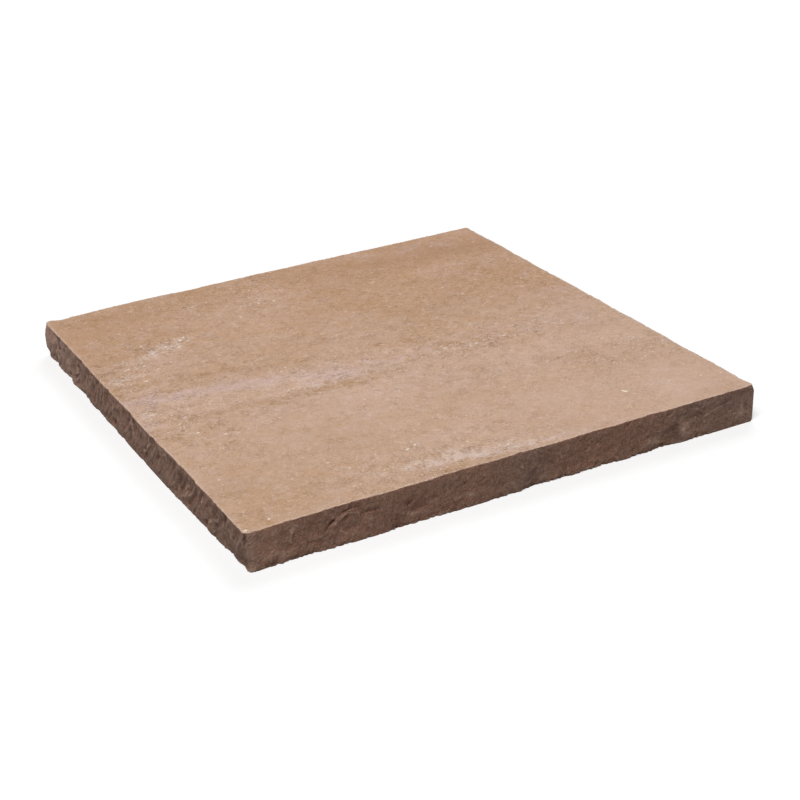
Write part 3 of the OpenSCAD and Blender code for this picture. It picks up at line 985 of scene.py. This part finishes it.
def weathered_top(m):
    cloud = m.noise(m.place(2.0, -9), 70, 2, 0.6)
    blotch = m.noise(m.place(1.3, -9), 24, 2, 0.7)
    coarse = m.noise(m.place(1.1, -9), 8, 1, 0.7)
    grit = m.noise(m.place(), 8, 3, 1.0)
    grain = m.noise(m.place(0.8), 2.2, 2, 1.0)
    wrinkles = m.creases(m.noise(m.place(1.2, -30), 8, 2, 0.6, 0.8))
    patchy = m.noise(m.place(1.2, 20), 14, 2, 0.6)
    # How strongly the skin's fine marks show
    lively = m.times(m.attribute("rough"), m.line(patchy, 0.32, 0.68, 0.45, 1.5))

    ragged = m.maths("ADD", m.swing(blotch, 0.25), m.swing(grit, 0.5))
    pink = m.maths("ADD", m.attribute("pink"), ragged)
    dark = m.maths("SUBTRACT", m.attribute("dark"), m.times(ragged, 0.6))
    edge = m.times(m.attribute("arris"), m.line(grain, 0.35, 0.6), 0.6)
    # darker towards the back, partly tone and partly painted shade
    tone = m.mix(m.attribute("to_back"), srgb(197, 164, 140), srgb(190, 154, 127))
    tone = m.covered(tone, [
        (m.step(pink, 0, 1.15, 0, 0.86), srgb(201, 171, 159)),
        (m.step(dark, 0, 1.2, 0, 0.8), srgb(181, 146, 116)),
        (edge, srgb(216, 190, 172)),
    ])
    tone = m.tinted(tone, [
        # partly painted shade: the terrace step's shadow and the uneven light on the top
        (SAME_HUE, m.times(m.attribute("shaded"), m.swing(grit, -0.05, -0.14))),
        (CHALKY, m.times(m.attribute("chalk"), 0.036)),
        (CHALKY, m.swing(cloud, 0.037)),
        (COOLER, m.swing(blotch, 0.031)),
        (CHALKY, m.times(lively, m.swing(coarse, 0.036))),
        (SAME_HUE, m.times(lively, m.swing(grit, 0.071))),
        (SAME_HUE, m.times(lively, m.line(grit, 0.56, 0.76, 0, 0.09))),
        (SAME_HUE, m.times(lively, m.swing(grain, 0.128))),
        (SAME_HUE, m.times(lively, m.line(grain, 0.56, 0.74, 0, 0.16))),
        (SAME_HUE, m.times(lively, m.line(wrinkles, 0, 1, -0.06, 0.03))),
    ])
    marks, bright = pale_marks(m, ragged, lively)
    m.stone(m.covered(tone, marks), [
        (m.step(m.attribute("terrace"), 1.2, -1.2), 0.5),
        (bright, 0.5),
        (m.times(lively, wrinkles), 0.35),
        (m.times(lively, grit), 0.7),
        (m.times(lively, grain), 0.45),
    ])


def broken_face(m):
    here = m.place()
    patch = m.noise(here, 30, 4, 0.6, 0.4)
    mottle = m.noise(here, 7, 4, 0.8)
    grain = m.noise(here, 2.0, 2, 1.0)
    hairs = m.creases(m.noise(here, 17, 2, 0.4, 0.3))
    fine = m.attribute("fine_relief")
    crest = m.attribute("crest")
    stain_and_painted_light = m.times(m.attribute("stain_and_painted_light"), m.line(mottle, 0.35, 0.65, 0.5, 1.5))
    tone = m.mix(m.step(patch, 0.36, 0.64), srgb(161, 121, 101), srgb(154, 116, 97))
    tone = m.covered(tone, [
        (m.times(m.attribute("grey"), 0.6), srgb(146, 118, 104)),
        # painted light at the ends of the faces
        (m.attribute("painted_end_light"), srgb(191, 155, 139)),
        (m.step(hairs, 0.14, 0.0, 0, 0.3), srgb(180, 148, 134)),
        (m.step(fine, 0.08, 0.6, 0, 0.7), srgb(187, 153, 138)),
        # painted shade: darker in the small hollows
        (m.step(fine, -0.12, -1.0, 0, 0.8), srgb(112, 78, 62)),
        (m.step(crest, 0, 0.8, 0, 0.55), srgb(205, 168, 150)),
        # painted shadow: darker along the gashes
        (m.step(crest, -0.2, -1.0, 0, 0.6), srgb(96, 68, 56)),
        # stains, partly real and partly painted light and shadow
        (m.step(stain_and_painted_light, 0, 1.5, 0, 0.65), srgb(214, 178, 155)),
        (m.step(stain_and_painted_light, 0, -2.6, 0, 0.75), srgb(94, 74, 65)),
        # painted shadow in the crease of the front left corner
        (m.attribute("painted_corner_shadow"), srgb(62, 46, 40)),
    ])
    tone = m.tinted(tone, [
        (SAME_HUE, m.swing(mottle, -0.07, 0.08)),
        (SAME_HUE, m.swing(grain, -0.175, 0.195)),
        # painted shade in the broad hollows and painted light on what stands out
        (SAME_HUE, m.line(m.attribute("wide_relief"), -1.5, 1.5, -0.06, 0.06)),
    ])
    # Painted light and shade: each face as bright as the light fell on it, darker towards the bed
    colour = m.scaled(tone, m.attribute("shade"))
    m.stone(colour, [(mottle, 2.0), (hairs, 0.25), (grain, 1.4)])


def plain_bed(m):
    mottle = m.noise(m.place(2.0, -8), 14, 4, 0.7)
    grain = m.noise(m.place(), 2.4, 2, 0.9)
    level = m.times(m.swing(mottle, 0.9, 1.1), m.swing(grain, 0.9, 1.1))
    tone = m.mix(mottle, srgb(176, 142, 120), srgb(164, 132, 116))
    m.stone(m.scaled(tone, level), [(mottle, 0.8), (grain, 0.4)])


def material(build):
    """A new material, named after the function that builds its shader."""
    made = bpy.data.materials.new(build.__name__)
    build(Shader(made))
    return made


for build in (broken_face, weathered_top, plain_bed):
    mesh.materials.append(material(build))
kinds = [2 if max(f) >= bed_start else int(min(f) >= last * columns) for f in faces]
mesh.polygons.foreach_set("material_index", kinds)
mesh.update()

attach(stone, "root")
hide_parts("cap")

# ---- floor, lights, camera

FLOOR_HALF = 8.0  # half of the floor's side
FILL_LIGHT = 0.008  # strength of the world on the stone


def studio_floor(m):
    """White to the camera and in reflections, apart from the stone's shadow. Pale grey to
    the light that it throws back onto the stone."""
    here = m.node("NewGeometry").outputs["Position"]
    away = m.node("VectorMath", {0: here}, operation="LENGTH").outputs["Value"]
    lit = m.node("BsdfDiffuse", {"Color": (0.55, 0.55, 0.55, 1)}).outputs[0]
    glow = m.node("Emission", {"Strength": m.step(away, 0.5, 1.3, 0.5, 1)}).outputs[0]
    shown = m.node("AddShader", {0: lit, 1: glow}).outputs[0]
    pale = m.node("BsdfDiffuse", {"Color": (0.35, 0.35, 0.35, 1)}).outputs[0]
    mixed = m.node("MixShader", {0: m.seen(), 1: pale, 2: shown}).outputs[0]
    m.node("OutputMaterial", {"Surface": mixed})


def studio_sky(m):
    """White to the camera and in reflections, and a faint fill light on the stone."""
    strength = m.line(m.seen(), 0, 1, FILL_LIGHT, 1)
    sky = m.node("Background", {"Color": (1, 1, 1, 1), "Strength": strength}).outputs[0]
    m.node("OutputWorld", {"Surface": sky})


floor_mesh = bpy.data.meshes.new("floor")
h = FLOOR_HALF
floor_mesh.from_pydata([(-h, -h, 0), (h, -h, 0), (h, h, 0), (-h, h, 0)], [], [(0, 1, 2, 3)])
floor_mesh.materials.append(material(studio_floor))
floor = in_scene("floor", floor_mesh)
world = bpy.data.worlds.new("studio")
studio_sky(Shader(world))
bpy.context.scene.world = world


def soft_box(name, place, size, power):
    lamp = bpy.data.lights.new(name, "AREA")
    lamp.shape = "SQUARE"
    lamp.size = size
    lamp.energy = power
    light = in_scene(name, lamp)
    light.location = place
    light.rotation_euler = (-light.location).to_track_quat("-Z", "Y").to_euler()


soft_box("key", (-2.1, -2.0, 5.4), 2.4, 305)
soft_box("fill", (1.8, 2.0, 3.6), 2.4, 70)

# The camera lies off a point just below the middle of the top, by these along its own axes
AZIMUTH, ELEVATION, ROLL = map(math.radians, (-27.89, 25.69, -2.09))
LENS = 74.2
CAMERA_DISTANCE = 1.9171
CAMERA_RIGHT = 26.57 * MM
CAMERA_UP = -56.73 * MM
turn = Matrix.Rotation(AZIMUTH, 4, "Z") @ Matrix.Rotation(math.pi / 2 - ELEVATION, 4, "X")
turn = turn @ Matrix.Rotation(ROLL, 4, "Z")
cam_data = bpy.data.cameras.new("camera")
cam_data.lens = LENS
cam = in_scene("camera", cam_data)
aim = Matrix.Translation((0, 0, THICKNESS - 0.7 * MM))
away = Matrix.Translation((CAMERA_RIGHT, CAMERA_UP, CAMERA_DISTANCE))
cam.matrix_world = aim @ turn @ away
bpy.context.scene.camera = cam
bpy.context.scene.view_settings.view_transform = "Standard"
